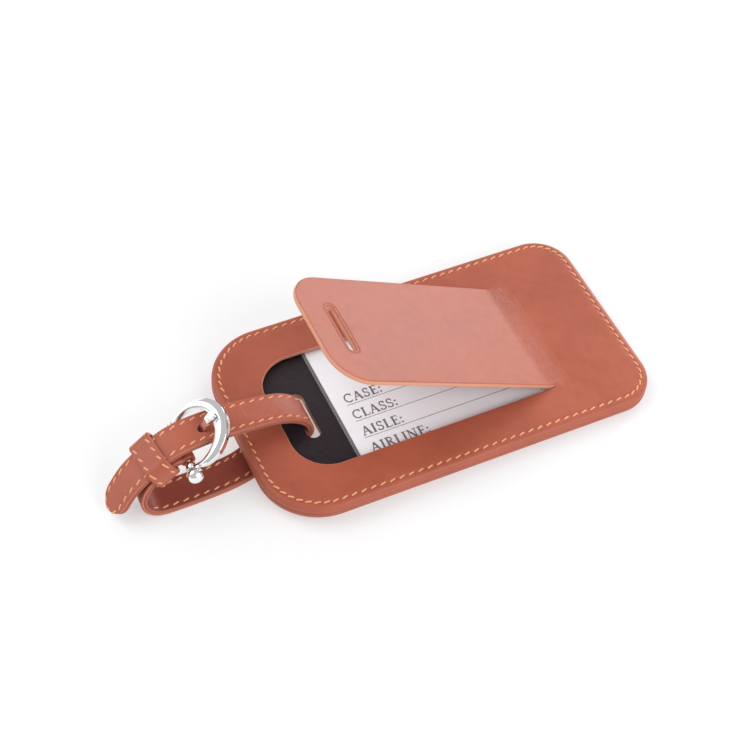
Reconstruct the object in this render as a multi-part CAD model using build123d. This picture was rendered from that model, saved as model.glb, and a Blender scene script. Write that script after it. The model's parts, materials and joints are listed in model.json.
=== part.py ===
"""Leather luggage tag: a stitched case with a privacy flap, an address card behind clear film and a buckled strap.

The case and all that is in it are drawn in the case's own frame: U along its length towards the closed
end, V across, W up from the middle of its back face. The case is then set down the way it lies on a table:
its closed end touches the table and its strap end is carried by the strap, so it leans by a small angle.
The strap, keeper and buckle are drawn in the table's frame, with X close to U and Z up from the table.
"""

import math
import os

from build123d import *

# --- driving dimensions, mm ---
CASE_LENGTH = 114.0
CASE_WIDTH = 63.5
STRAP_END_RADIUS = 17.0  # corners of the end with the strap
CLOSED_END_RADIUS = 11.0  # corners of the other end

BACK_LEATHER = 1.3
FRONT_LEATHER = 1.4
RIM_WIDTH = 3.3  # turned and stitched border of both panels
SEAM_HEIGHT = 2.2  # where the front and back panels meet at the edge
CASE_THICKNESS = 4.8
EDGE_ROUND = 0.9
LINING_THICKNESS = 0.55
CARD_THICKNESS = 0.3
FILM_THICKNESS = 0.2
LAYER_PLAY = 0.05

CREASE_U = 30.2  # the flap bends along this line
WINDOW_END_U = -44.9
WINDOW_WIDTH = 38.4
WINDOW_RADIUS = 10.5
CUT_WIDTH = 0.35  # gap left by the knife round the flap
FLAP_ANGLE = 28.0  # the flap as it stands
FLAP_SLOT_S = 65.5  # from the crease
FLAP_SLOT_WIDTH = 2.4

SLOT_U = -36.6
SLOT_LENGTH = 16.0
SLOT_WIDTH = 3.1
STRAP_ROOM = 1.0  # the board's and the lining's slots are wider by this

CARD_LENGTH = 80.0
CARD_WIDTH = 50.0
CARD_START_U = -28.7
FILM_START_U = -29.8

STITCH_INSET = 2.1
STITCH_PITCH = 2.75
STITCH_LENGTH = 2.0
THREAD_WIDTH = 0.55
THREAD_HEIGHT = 0.3
THREAD_PROUD = 0.12  # how far a stitch stands out of the leather

STRAP_WIDTH = 9.6
STRAP_THICKNESS = 2.0
GLUE_LINE = 0.04  # between the strap's two leathers
STRAP_STITCH_INSET = 1.35
STRAP_STITCH_PITCH = 3.5
STRAP_STITCH_LENGTH = 2.6
TIP_RADIUS = 4.4
SLOT_STRAP_X = -36.95  # the strap leans on the slot's edge nearer the buckle
UPPER_STITCHING = (76.0, 141.5)  # lengths along the strap that carry stitches on its outer face
LOWER_STITCHING = (25.5, 44.0)  # and on its inner face

BAR_X = -72.7
BAR_Z = 12.6
BUCKLE_Y = -1.7
BUCKLE_TILT = 38.5
RING_RADIUS = 9.5
RING_CENTRE = 6.1  # from the bar, in the ring's plane
RING_HOLE_RADIUS = 7.8
RING_HOLE_CENTRE = 4.2
RING_THICKNESS = 2.4
RING_BEVEL = 0.6
EYE_RADIUS = 1.5
EYE_INNER_Y = 5.6
EYE_OUTER_Y = 7.6
BAR_RADIUS = 0.8
RUNNING_CLEARANCE = 0.06
KNOB_RADIUS = 2.1
CAP_RADIUS = 1.3
KNOB_Y = 9.2  # from the middle of the bar
WRAP_RADIUS = 2.05
PRONG_WIDTH = 2.1
PRONG_EYE_RADIUS = 1.7
# The prong's side view in the buckle's plane: along from the bar, up out of the ring.
PRONG_UNDERSIDE = [(0.0, -1.4), (5.0, -2.3), (11.7, 1.25), (13.9, 1.4)]
PRONG_UPPER_SIDE = [(13.7, 2.6), (11.3, 2.6), (5.0, -0.95), (0.0, 0.6)]
PRONG_HOLE_X = (-69.8, -65.1)
PRONG_HOLE_WIDTH = 2.9

KEEPER_X = -81.2
KEEPER_LENGTH = 6.4
KEEPER_LEATHER = 1.2
KEEPER_PLAY = 0.45
KEEPER_GAP = 0.5  # between the two thicknesses of strap in the keeper
KEEPER_INNER_WIDTH = STRAP_WIDTH + 2 * KEEPER_PLAY + 0.6
KEEPER_INNER_HEIGHT = 2 * STRAP_THICKNESS + KEEPER_GAP + 2 * KEEPER_PLAY
KEEPER_STITCH_INSET = 1.2
KEEPER_STITCH_PITCH = 3.2
STAPLE_WIRE = 0.6

# Corners of the strap's middle line, from the end at the bar to the tip: X, Y, Z and the share of the
# shorter neighbouring run that the corner's arc takes up.
STRAP_ROUTE = [
    (BAR_X - 1.2, -1.8, 13.0, 0),
    (-76.1, -2.0, 14.1, 0.45),
    (-85.2, -3.8, 9.0, 0.4),
    (-87.4, -6.0, 4.8, 0.48),
    (-84.0, -6.9, STRAP_THICKNESS / 2, 0.48),
    (-70.0, -7.1, STRAP_THICKNESS / 2, 0.45),
    (-57.0, -6.3, STRAP_THICKNESS / 2, 0.45),
    (-45.0, -0.3, STRAP_THICKNESS / 2, 0.45),
    (SLOT_STRAP_X, 0.1, STRAP_THICKNESS / 2, 0.25),
    (SLOT_STRAP_X, 0.2, 6.2, 0.45),
    (-42.0, 0.3, 11.2, 0.45),
    (-50.5, 0.0, 14.0, 0.4),
    (-66.0, -1.0, 17.0, 0.45),
    (-76.3, -2.0, 17.1, 0.42),
    (-88.4, -3.9, 10.3, 0.35),
    (-94.6, -5.6, 2.2, 0),
]
ARC_STEP = 14.0  # degrees of bend between two sections of the strap

# The case leans so that its back clears the strap that lies under it.
LEAN = math.degrees(math.asin((STRAP_THICKNESS + 0.35) / (CASE_LENGTH / 2 - SLOT_U)))


# --- placing ---
def on_table(part):
    """A part from the case's frame, set down on the table."""
    half = CASE_LENGTH / 2
    return Location((half, 0, 0)) * Location((0, 0, 0), (0, LEAN, 0)) * Location((-half, 0, 0)) * part


def plate(sketch, low, high):
    """A flat sketch made solid between two heights."""
    return Location((0, 0, low)) * extrude(sketch, high - low)


# --- the case ---
def case_outline(inset=0.0):
    """The case's outline, moved inwards by inset: tight corners at the closed end, wide ones at the strap end."""
    sketch = Rectangle(CASE_LENGTH - 2 * inset, CASE_WIDTH - 2 * inset)
    corners = sketch.vertices().sort_by(Axis.X)
    sketch = fillet(corners[:2], STRAP_END_RADIUS - inset)
    far = sketch.vertices().sort_by(Axis.X)[-2:]
    return fillet(far, CLOSED_END_RADIUS - inset)


def slot_sketch(room=0.0):
    """The slot the strap passes through, lying across the case, with room on the side that the strap bends to."""
    return Location((SLOT_U - room / 2, 0, 0)) * Rot(0, 0, 90) * SlotOverall(SLOT_LENGTH, SLOT_WIDTH + room)


def flap_sketch(grow=0.0):
    """The flap's outline laid flat, with its crease at CREASE_U and rounded corners at its free end."""
    end = WINDOW_END_U + CUT_WIDTH - grow
    length = CREASE_U - end
    width = WINDOW_WIDTH - 2 * CUT_WIDTH + 2 * grow
    sketch = Location(((CREASE_U + end) / 2, 0, 0)) * Rectangle(length, width)
    return fillet(sketch.vertices().sort_by(Axis.X)[:2], WINDOW_RADIUS - CUT_WIDTH + grow)


def stitch_groove(low, high):
    """The channel round the border that the stitches lie in."""
    half = THREAD_WIDTH / 2 + 0.12
    return plate(case_outline(STITCH_INSET - half) - case_outline(STITCH_INSET + half), low, high)


def back_panel():
    body = plate(case_outline(), 0, SEAM_HEIGHT)
    body = fillet(body.faces().sort_by(Axis.Z)[0].edges(), EDGE_ROUND)
    body -= plate(case_outline(RIM_WIDTH), BACK_LEATHER, SEAM_HEIGHT + 1)
    body -= plate(slot_sketch(), -1, SEAM_HEIGHT + 1)
    return body - stitch_groove(-1, THREAD_HEIGHT)


def front_panel():
    body = plate(case_outline(), SEAM_HEIGHT, CASE_THICKNESS)
    body = fillet(body.faces().sort_by(Axis.Z)[-1].edges(), EDGE_ROUND)
    body -= plate(case_outline(RIM_WIDTH), SEAM_HEIGHT - 1, CASE_THICKNESS - FRONT_LEATHER)
    body -= plate(flap_sketch(CUT_WIDTH), 0, CASE_THICKNESS + 1)
    return body - stitch_groove(CASE_THICKNESS + THREAD_PROUD - THREAD_HEIGHT, CASE_THICKNESS + 1)


def core_board():
    board = plate(case_outline(RIM_WIDTH + 0.1), BACK_LEATHER, SEAM_HEIGHT)
    return board - plate(slot_sketch(STRAP_ROOM), 0, SEAM_HEIGHT + 1)


def lining_panel():
    sheet = plate(case_outline(RIM_WIDTH + 0.1), SEAM_HEIGHT, SEAM_HEIGHT + LINING_THICKNESS)
    return sheet - plate(slot_sketch(STRAP_ROOM), 0, SEAM_HEIGHT + 2)


def id_card():
    low = SEAM_HEIGHT + LINING_THICKNESS + LAYER_PLAY
    card = Location((CARD_START_U + CARD_LENGTH / 2, 0, 0)) * RectangleRounded(CARD_LENGTH, CARD_WIDTH, 1.5)
    return plate(card, low, low + CARD_THICKNESS)


def window_film():
    high = CASE_THICKNESS - FRONT_LEATHER
    end = CASE_LENGTH / 2 - RIM_WIDTH - 0.3
    middle = (FILM_START_U + end) / 2
    sheet = Location((middle, 0, 0)) * Rectangle(end - FILM_START_U, CASE_WIDTH - 2 * RIM_WIDTH - 0.6)
    return plate(sheet, high - FILM_THICKNESS, high) & plate(case_outline(RIM_WIDTH + 0.2), 0, 9)


def stitch(length):
    """One stitch lying along X, its middle at the origin."""
    return Box(length, THREAD_WIDTH, THREAD_HEIGHT)


def perimeter_thread(middle_height):
    """The stitches of one face, evenly spaced along the border."""
    seam = case_outline(STITCH_INSET).face().outer_wire()
    count = round(seam.length / STITCH_PITCH)
    stitches = []
    for i in range(count):
        at = seam.position_at(i / count)
        along = seam.tangent_at(i / count)
        turn = math.degrees(math.atan2(along.Y, along.X))
        stitches.append(Location((at.X, at.Y, middle_height), (0, 0, turn)) * stitch(STITCH_LENGTH))
    return stitches


# --- the flap ---
def privacy_flap():
    """The flap swung up about its crease, which lies in the leather's upper face."""
    leaf = plate(flap_sketch(), CASE_THICKNESS - FRONT_LEATHER, CASE_THICKNESS)
    hole = Location((CREASE_U - FLAP_SLOT_S, 0, 0)) * Rot(0, 0, 90) * SlotOverall(SLOT_LENGTH, FLAP_SLOT_WIDTH)
    leaf -= plate(hole, 0, CASE_THICKNESS + 1)
    crease = Location((CREASE_U, 0, CASE_THICKNESS))
    return crease * Location((0, 0, 0), (0, FLAP_ANGLE, 0)) * crease.inverse() * leaf


# --- the strap ---
def strap_path():
    """The strap's middle line: straight runs joined by arcs."""
    points = [Vector(*corner[:3]) for corner in STRAP_ROUTE]
    radii = []
    for i in range(1, len(points) - 1):
        before = points[i] - points[i - 1]
        after = points[i + 1] - points[i]
        half_turn = math.radians(before.get_angle(after)) / 2
        radii.append(STRAP_ROUTE[i][3] * min(before.length, after.length) / math.tan(half_turn))
    return FilletPolyline(*points, radius=radii)


def strap_stations(path):
    """Places along the strap as (position, along, across, outwards), close together only where it bends."""
    stations = []
    for edge in path.edges():
        steps = 1
        if edge.geom_type != GeomType.LINE:
            steps = max(2, math.ceil(math.degrees(edge.length / edge.radius) / ARC_STEP))
        first = 0 if not stations else 1
        for i in range(first, steps + 1):
            stations.append(strap_frame(edge.position_at(i / steps), edge.tangent_at(i / steps)))
    return stations


def strap_frame(position, along):
    """Across lies as level with the Y axis as the strap's direction lets it; outwards faces out of the loop."""
    across = (Vector(0, 1, 0) - along * along.Y).normalized()
    return position, along, across, across.cross(along).normalized()


def strip(stations, low, high):
    """A strip of leather through the stations, between two distances outwards from the middle line."""
    sections = []
    for position, _, across, outwards in stations:
        corners = [
            position + across * side * STRAP_WIDTH / 2 + outwards * level
            for side, level in ((-1, low), (1, low), (1, high), (-1, high))
        ]
        sections.append(Face(Wire.make_polygon(corners, close=True)))
    return Solid.make_loft([s.outer_wire() for s in sections], ruled=True)


def tip_cutter(station):
    """What the rounded tip loses from the strap's square end."""
    position, along, across, outwards = station
    plane = Plane(origin=position, x_dir=along, z_dir=outwards)
    reach = TIP_RADIUS + 2
    square = Location((-TIP_RADIUS / 2 + reach / 2, 0)) * Rectangle(TIP_RADIUS + reach, STRAP_WIDTH + 2)
    body = Location((-TIP_RADIUS - 5, 0)) * Rectangle(10, STRAP_WIDTH + 4)
    ellipse = Location((-TIP_RADIUS, 0)) * Circle(STRAP_WIDTH / 2)
    cut = square - body - ellipse
    return plane * extrude(cut, 4, both=True)


def buckle_plane():
    """Origin in the middle of the bar, X out through the ring, Y along the bar and Z up out of the ring."""
    tilt = math.radians(BUCKLE_TILT)
    return Plane(
        origin=(BAR_X, BUCKLE_Y, BAR_Z),
        x_dir=(math.cos(tilt), 0, math.sin(tilt)),
        z_dir=(-math.sin(tilt), 0, math.cos(tilt)),
    )


def prong_hole():
    """The long hole in the strap that the prong stands up through."""
    start, end = PRONG_HOLE_X
    middle = (start + end) / 2
    hole = SlotOverall(end - start, PRONG_HOLE_WIDTH)
    return Location((middle, -1.6, 14.5), (0, 0, 3)) * extrude(hole, 6)


def bar_wrap():
    """The strap's end turned round the bar."""
    return Location((BAR_X, BUCKLE_Y, BAR_Z)) * Rot(90, 0, 0) * Cylinder(WRAP_RADIUS, STRAP_WIDTH)


def bar_space():
    """Room in the turned end for the bar and, in its middle, for the prong."""
    bar = Rot(90, 0, 0) * Cylinder(BAR_RADIUS + RUNNING_CLEARANCE, 30)
    prong = Rot(90, 0, 0) * Cylinder(PRONG_EYE_RADIUS + 0.25, PRONG_WIDTH + 0.5)
    prong += Location((3, 0, 0)) * Box(6, PRONG_WIDTH + 0.5, 6)
    return Location((BAR_X, BUCKLE_Y, BAR_Z)) * (bar + prong)


def strap_stitches(path, side, start, end):
    """Two rows of stitches on one face of the strap, between two lengths along it."""
    count = int((end - start) / STRAP_STITCH_PITCH)
    offset = STRAP_WIDTH / 2 - STRAP_STITCH_INSET
    stitches = []
    for i in range(count):
        share = (start + (i + 0.5) * STRAP_STITCH_PITCH) / path.length
        position, along, across, outwards = strap_frame(path.position_at(share), path.tangent_at(share))
        level = side * (STRAP_THICKNESS / 2 + THREAD_HEIGHT / 2 + 0.02)
        for row in (-1, 1):
            at = position + across * row * offset + outwards * level
            plane = Plane(origin=at, x_dir=along, z_dir=outwards)
            stitches.append(plane * stitch(STRAP_STITCH_LENGTH))
    return stitches


# --- the buckle ---
def buckle_frame():
    """A crescent ring whose two horns end in eyes round the bar."""
    half = RING_THICKNESS / 2
    disc = Location((RING_CENTRE, 0, 0)) * Circle(RING_RADIUS)
    hole = Location((RING_HOLE_CENTRE, 0, 0)) * Circle(RING_HOLE_RADIUS)
    behind = Location((-10, 0, 0)) * Rectangle(20, 40)
    ring = plate(disc - hole - behind, -half, half)
    rim = [
        e for e in ring.edges().filter_by(GeomType.CIRCLE)
        if abs(e.radius - RING_RADIUS) < 0.01 and e.center().Z > 0
    ]
    ring = chamfer(rim, RING_BEVEL)
    for side in (-1, 1):
        eye = Location((0, side * (EYE_INNER_Y + EYE_OUTER_Y) / 2, 0)) * Rot(90, 0, 0) * Cylinder(
            EYE_RADIUS, EYE_OUTER_Y - EYE_INNER_Y
        )
        ring += eye
        ring += Location((1.3, side * (EYE_OUTER_Y - 0.7), 0)) * Box(2.6, 1.4, RING_THICKNESS)
    ring -= Location((0, -KNOB_Y, 0)) * Sphere(KNOB_RADIUS + 0.15)
    ring -= Location((0, EYE_OUTER_Y + 2, 0)) * Rot(90, 0, 0) * Cylinder(CAP_RADIUS + 0.15, 4)
    ring -= Rot(90, 0, 0) * Cylinder(BAR_RADIUS + RUNNING_CLEARANCE, 40)
    return buckle_plane() * ring


def buckle_bar():
    return buckle_plane() * Rot(90, 0, 0) * Cylinder(BAR_RADIUS, 2 * EYE_OUTER_Y)


def bar_knob():
    """The round head on the bar's near end, flat where it meets the eye."""
    ball = Location((0, -KNOB_Y, 0)) * Sphere(KNOB_RADIUS)
    face = Location((0, -EYE_OUTER_Y + 3, 0)) * Box(6, 6, 6)
    return buckle_plane() * (ball - face)


def bar_cap():
    """The flat head on the bar's far end."""
    return buckle_plane() * Location((0, EYE_OUTER_Y + 0.4, 0)) * Rot(90, 0, 0) * Cylinder(CAP_RADIUS, 0.8)


def buckle_prong():
    """An eye round the bar and a cranked flat shank that ends on top of the ring."""
    side_view = Polygon(*PRONG_UNDERSIDE, *PRONG_UPPER_SIDE, align=None)
    shank = extrude(Rot(90, 0, 0) * side_view, PRONG_WIDTH / 2, both=True)
    body = shank + Rot(90, 0, 0) * Cylinder(PRONG_EYE_RADIUS, PRONG_WIDTH)
    return buckle_plane() * (body - Rot(90, 0, 0) * Cylinder(BAR_RADIUS + RUNNING_CLEARANCE, 9))


# --- the keeper ---
def keeper_plane(path):
    """Middle of the keeper, half way between the two thicknesses of strap it holds."""
    tongue_start = path.length * 0.75
    samples = [tongue_start + i * 0.1 for i in range(int((path.length - tongue_start) / 0.1))]
    length = min(samples, key=lambda s: abs(path.position_at(s / path.length).X - KEEPER_X))
    share = length / path.length
    position, along, across, outwards = strap_frame(path.position_at(share), path.tangent_at(share))
    middle = position - outwards * (STRAP_THICKNESS + KEEPER_GAP) / 2
    return Plane(origin=middle, x_dir=along, z_dir=outwards)


def keeper_band(plane):
    both = 2 * KEEPER_LEATHER
    outer = Box(KEEPER_LENGTH, KEEPER_INNER_WIDTH + both, KEEPER_INNER_HEIGHT + both)
    outer = fillet(outer.edges().filter_by(Axis.X), 1.6)
    inner = Box(KEEPER_LENGTH + 1, KEEPER_INNER_WIDTH, KEEPER_INNER_HEIGHT)
    inner = fillet(inner.edges().filter_by(Axis.X), 0.6)
    return plane * (outer - inner)


def keeper_thread(plane):
    """Two rows of stitches over the keeper's upper face."""
    level = KEEPER_INNER_HEIGHT / 2 + KEEPER_LEATHER + THREAD_HEIGHT / 2 + 0.02
    stitches = []
    for row in (-1, 1):
        inset = row * (KEEPER_LENGTH / 2 - KEEPER_STITCH_INSET)
        for i in range(-1, 2):
            at = Location((inset, i * KEEPER_STITCH_PITCH, level), (0, 0, 90))
            stitches.append(plane * at * stitch(STRAP_STITCH_LENGTH - 0.2))
    return stitches


def keeper_staple(plane):
    """The wire staple that closes the keeper, low on its near side."""
    side = KEEPER_INNER_WIDTH / 2 + KEEPER_LEATHER + STAPLE_WIRE / 2
    return plane * Location((-1.3, -side, -1.8)) * Box(2.8, STAPLE_WIRE, 0.8)


# --- everything together ---
def strap_leathers(path):
    """The outer leather, turned round the bar, and the lining leather glued inside it."""
    stations = strap_stations(path)
    half = STRAP_THICKNESS / 2
    outer = strip(stations, GLUE_LINE / 2, half) + bar_wrap()
    inner = strip(stations, -half, -GLUE_LINE / 2) - bar_wrap()
    for cutter in (tip_cutter(stations[-1]), prong_hole(), bar_space()):
        outer -= cutter
        inner -= cutter
    return outer, inner


def build():
    path = strap_path()
    keeper = keeper_plane(path)
    outer, inner = strap_leathers(path)
    top = CASE_THICKNESS + THREAD_PROUD - THREAD_HEIGHT / 2
    return {
        "front_panel": on_table(front_panel()),
        "back_panel": on_table(back_panel()),
        "core_board": on_table(core_board()),
        "lining_panel": on_table(lining_panel()),
        "window_film": on_table(window_film()),
        "id_card": on_table(id_card()),
        "privacy_flap": on_table(privacy_flap()),
        "perimeter_thread_front": [on_table(s) for s in perimeter_thread(top)],
        "perimeter_thread_back": [on_table(s) for s in perimeter_thread(THREAD_HEIGHT / 2)],
        "strap_outer_leather": outer,
        "strap_lining_leather": inner,
        "strap_thread_top": strap_stitches(path, 1, UPPER_STITCHING[0], UPPER_STITCHING[1]),
        "strap_thread_under": strap_stitches(path, -1, LOWER_STITCHING[0], LOWER_STITCHING[1]),
        "buckle_frame": buckle_frame(),
        "buckle_bar": buckle_bar(),
        "buckle_bar_knob": bar_knob(),
        "buckle_bar_cap": bar_cap(),
        "buckle_prong": buckle_prong(),
        "keeper_band": keeper_band(keeper),
        "keeper_thread": keeper_thread(keeper),
        "keeper_staple": keeper_staple(keeper),
    }


def solids_of(part):
    """A part's solids, whether it is one shape or a list of them."""
    shapes = part if isinstance(part, list) else [part]
    return [solid for shape in shapes for solid in shape.solids()]


def row_shift(nodes):
    """Moves the origin under the middle of the whole tag, on the table."""
    box = Compound([solid for solids in nodes.values() for solid in solids]).bounding_box()
    return Location((-(box.min.X + box.max.X) / 2, -(box.min.Y + box.max.Y) / 2, -box.min.Z))


def main():
    os.makedirs("parts", exist_ok=True)
    nodes = {name: solids_of(part) for name, part in build().items()}
    shift = row_shift(nodes)
    for name, solids in nodes.items():
        placed = [shift * solid for solid in solids]
        export_step(Compound(placed) if len(placed) > 1 else placed[0], f"parts/{name}.step")


if __name__ == "__main__":
    main()
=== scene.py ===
"""Leather luggage tag, laid out as an add-on: one operator for each piece or group of like pieces.

The case is worked out in its own frame, in millimetres: U along the case towards its closed end, V across it
and W up from its back. The strap, keeper and buckle are worked out in the table's frame, also in millimetres.
"""

import functools
import json
import math

import bpy
import numpy as np
from mathutils import Matrix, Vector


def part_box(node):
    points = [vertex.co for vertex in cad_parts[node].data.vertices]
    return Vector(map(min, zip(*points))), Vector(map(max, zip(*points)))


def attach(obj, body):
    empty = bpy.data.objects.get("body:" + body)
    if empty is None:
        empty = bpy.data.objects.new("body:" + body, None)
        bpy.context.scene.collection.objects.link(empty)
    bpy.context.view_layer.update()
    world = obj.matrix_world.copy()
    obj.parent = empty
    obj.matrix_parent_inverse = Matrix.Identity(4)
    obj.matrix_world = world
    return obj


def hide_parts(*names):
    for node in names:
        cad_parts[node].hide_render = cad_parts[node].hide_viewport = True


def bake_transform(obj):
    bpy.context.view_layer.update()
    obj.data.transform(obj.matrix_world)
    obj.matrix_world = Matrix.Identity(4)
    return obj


bl_info = {
    "name": "Leather luggage tag",
    "version": (1, 0, 0),
    "blender": (4, 5, 0),
    "location": "3D View > Sidebar > Tag",
    "description": "Builds the leather, stitches, metal and card of a luggage tag around its frame",
    "category": "Object",
}

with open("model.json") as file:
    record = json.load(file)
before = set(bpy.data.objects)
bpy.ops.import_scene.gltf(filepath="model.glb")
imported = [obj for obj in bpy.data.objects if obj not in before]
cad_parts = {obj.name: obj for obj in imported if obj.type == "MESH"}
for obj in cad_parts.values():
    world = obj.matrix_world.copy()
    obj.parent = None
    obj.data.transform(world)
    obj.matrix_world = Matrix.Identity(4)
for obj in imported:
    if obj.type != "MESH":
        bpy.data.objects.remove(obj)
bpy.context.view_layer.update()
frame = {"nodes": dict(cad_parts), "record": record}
RECORD = frame["record"]
JOINTS = {joint["name"]: joint for joint in RECORD["behaviour"]["joints"]}
MM = 0.001

# --- sizes of the case, mm ---
CASE_LENGTH = 114.0
CASE_WIDTH = 63.5
STRAP_END_RADIUS = 17.0
CLOSED_END_RADIUS = 11.0
SEAM_HEIGHT = 2.2
CASE_TOP = 4.8
FRONT_UNDERSIDE = 3.4
CREASE_U = 30.2
WINDOW_END_U = -44.9
WINDOW_WIDTH = 38.4
WINDOW_RADIUS = 10.5
CUT_WIDTH = 0.35
FLAP_SLOT_U = -35.3
STRAP_SLOT_U = -36.6
CARD_TOP = 3.1
STITCH_INSET = 2.1
STITCH_PITCH = 2.75
THREAD_HEIGHT = 0.36
BORDER_STITCH, STRAP_STITCH, KEEPER_STITCH = 2.05, 2.2, 2.3  # lengths of one stitch

# --- the two frames ---
V_AXIS = np.array([0.0, 1.0, 0.0])
U_AXIS = -np.array(JOINTS["card_slide"]["axis"])
W_AXIS = np.cross(U_AXIS, V_AXIS)
CASE_ORIGIN = np.array(JOINTS["flap_hinge"]["pos_m"]) - (U_AXIS * CREASE_U + W_AXIS * CASE_TOP) * MM
BAR = np.array([-72.7, -1.7, 12.6])
TABLE_SHIFT = np.array(JOINTS["buckle_tilt"]["pos_m"]) / MM - BAR

# --- sizes of the strap and buckle, mm ---
STRAP_HALF = 1.0  # half its thickness
STRAP_STITCH_ROW = 3.45  # from the middle line
STRAP_STITCH_PITCH = 2.85
SLOT_STRAP_X = -36.95
# Corners of the strap's middle line and the share of the shorter run that each corner's arc takes up.
STRAP_ROUTE = np.array([
    (-73.9, -1.8, 13.0, 0),
    (-76.1, -2.0, 14.1, 0.45),
    (-85.2, -3.8, 9.0, 0.4),
    (-87.4, -6.0, 4.8, 0.48),
    (-84.0, -6.9, 1.0, 0.48),
    (-70.0, -7.1, 1.0, 0.45),
    (-57.0, -6.3, 1.0, 0.45),
    (-45.0, -0.3, 1.0, 0.45),
    (SLOT_STRAP_X, 0.1, 1.0, 0.25),
    (SLOT_STRAP_X, 0.2, 6.2, 0.45),
    (-42.0, 0.3, 11.2, 0.45),
    (-50.5, 0.0, 14.0, 0.4),
    (-66.0, -1.0, 17.0, 0.45),
    (-76.3, -2.0, 17.1, 0.42),
    (-88.4, -3.9, 10.3, 0.35),
    (-94.6, -5.6, 2.2, 0),
])
BUCKLE_TILT = math.radians(38.5)
BUCKLE_AXES = np.array([
    [math.cos(BUCKLE_TILT), 0, math.sin(BUCKLE_TILT)],
    [0, 1, 0],
    [-math.sin(BUCKLE_TILT), 0, math.cos(BUCKLE_TILT)],
])
RING_CENTRE = 6.1
RING_RADIUS = 9.5
RING_HOLE_CENTRE = 4.2
RING_HOLE_RADIUS = 7.8


# --- sizes and colours a user may change ---
class TagSizes(bpy.types.PropertyGroup):
    thread_width: bpy.props.FloatProperty(
        name="Thread width", description="Width of the sewing thread", default=0.00056, min=0.0003, max=0.001,
        unit="LENGTH")
    grain: bpy.props.FloatProperty(
        name="Grain size", description="Size of the leather's pores", default=0.00042, min=0.0002, max=0.002,
        unit="LENGTH")
    camera_lens: bpy.props.FloatProperty(
        name="Lens", description="Focal length of the camera, in millimetres", default=81.89)


def colour(name, description, value):
    return bpy.props.FloatVectorProperty(
        name=name, description=description, default=(*value, 1.0), size=4, min=0, max=1, subtype="COLOR")


class TagColours(bpy.types.PropertyGroup):
    leather: colour("Leather", "The leather's finished face", (0.44, 0.110, 0.062))
    leather_deep: colour("Leather, deep", "Darker patches and pores of the leather", (0.37, 0.086, 0.046))
    leather_raw: colour("Cut edge", "The leather's cut edge", (0.72, 0.34, 0.22))
    # Colour of the strap's inner face: a darker brown leather, made darker still as painted shade
    inner_leather: colour("Strap lining", "Inner face of the strap", (0.30, 0.062, 0.038))
    thread: colour("Thread", "Sewing thread", (0.88, 0.42, 0.22))
    lining: colour("Lining", "Black lining behind the window", (0.012, 0.008, 0.011))
    card: colour("Card", "Address card", (0.93, 0.95, 0.99))
    ink: colour("Ink", "Print on the card", (0.008, 0.008, 0.010))
    metal: colour("Metal", "Polished metal", (0.94, 0.94, 0.95))


# --- places ---
def from_case(points):
    """Rows of (U, V, W) in the case's frame, in millimetres, to the row frame in metres."""
    points = np.asarray(points, dtype=float) * MM
    return CASE_ORIGIN + points[..., :1] * U_AXIS + points[..., 1:2] * V_AXIS + points[..., 2:3] * W_AXIS


def from_table(points):
    """Rows of (X, Y, Z) in the table's frame, in millimetres, to the row frame in metres."""
    return (np.asarray(points, dtype=float) + TABLE_SHIFT) * MM


def from_buckle(points):
    """Rows of (out through the ring, along the bar, up out of the ring) to the table's frame."""
    return BAR + np.asarray(points, dtype=float) @ BUCKLE_AXES


def unit(vectors):
    return vectors / np.linalg.norm(vectors, axis=-1, keepdims=True)


def lengths_along(path):
    """The length along a line at each of its points."""
    return np.concatenate([[0], np.cumsum(np.linalg.norm(np.diff(path, axis=0), axis=1))])


def sampled(wanted, lengths, rows):
    """Values at the wanted lengths, between rows of values that belong to the lengths."""
    return np.column_stack([np.interp(wanted, lengths, column) for column in rows.T])


def smooth_step(value):
    value = np.clip(value, 0.0, 1.0)
    return value * value * (3 - 2 * value)


# --- meshes ---
def grid_faces(rows, columns, close_rows=False, close_columns=True, first=0):
    """Four-sided faces of a grid whose vertices are numbered row by row; either direction may be closed."""
    r = np.arange(rows if close_rows else rows - 1)[:, None]
    c = np.arange(columns if close_columns else columns - 1)[None, :]
    r2, c2 = (r + 1) % rows, (c + 1) % columns
    corners = np.stack(np.broadcast_arrays(r * columns + c, r * columns + c2, r2 * columns + c2, r2 * columns + c))
    return corners.reshape(4, -1).T + first


def signed_volume(points, quads):
    """Six times the volume that the faces close, negative if they point inwards."""
    a, b, c, d = (points[quads[:, i]] for i in range(4))
    return np.sum(a * np.cross(b, c)) + np.sum(a * np.cross(c, d))


def make_mesh(name, points, quads, caps=(), notes=None):
    """A mesh from arrays. caps are end faces with any number of corners; notes are per-vertex values by name."""
    middle = points.mean(axis=0)
    if signed_volume(points - middle, quads) < 0:
        quads = quads[:, ::-1]
        caps = [cap[::-1] for cap in caps]
    corners = np.concatenate([quads.ravel(), *caps]).astype(np.int32)
    sizes = np.concatenate([np.full(len(quads), 4), [len(cap) for cap in caps]]).astype(np.int32)
    starts = (np.cumsum(sizes) - sizes).astype(np.int32)
    mesh = bpy.data.meshes.new(name)
    mesh.vertices.add(len(points))
    mesh.vertices.foreach_set("co", points.astype(np.float32).ravel())
    mesh.loops.add(len(corners))
    mesh.loops.foreach_set("vertex_index", corners)
    mesh.polygons.add(len(sizes))
    mesh.polygons.foreach_set("loop_start", starts)
    mesh.polygons.foreach_set("use_smooth", np.ones(len(sizes), dtype=bool))
    mesh.update(calc_edges=True)
    for label, values in (notes or {}).items():
        values = np.asarray(values, dtype=np.float32)
        kind, field = ("FLOAT", "value") if values.ndim == 1 else ("FLOAT_VECTOR", "vector")
        mesh.attributes.new(label, kind, "POINT").data.foreach_set(field, values.ravel())
    mesh.validate()
    return mesh


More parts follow.
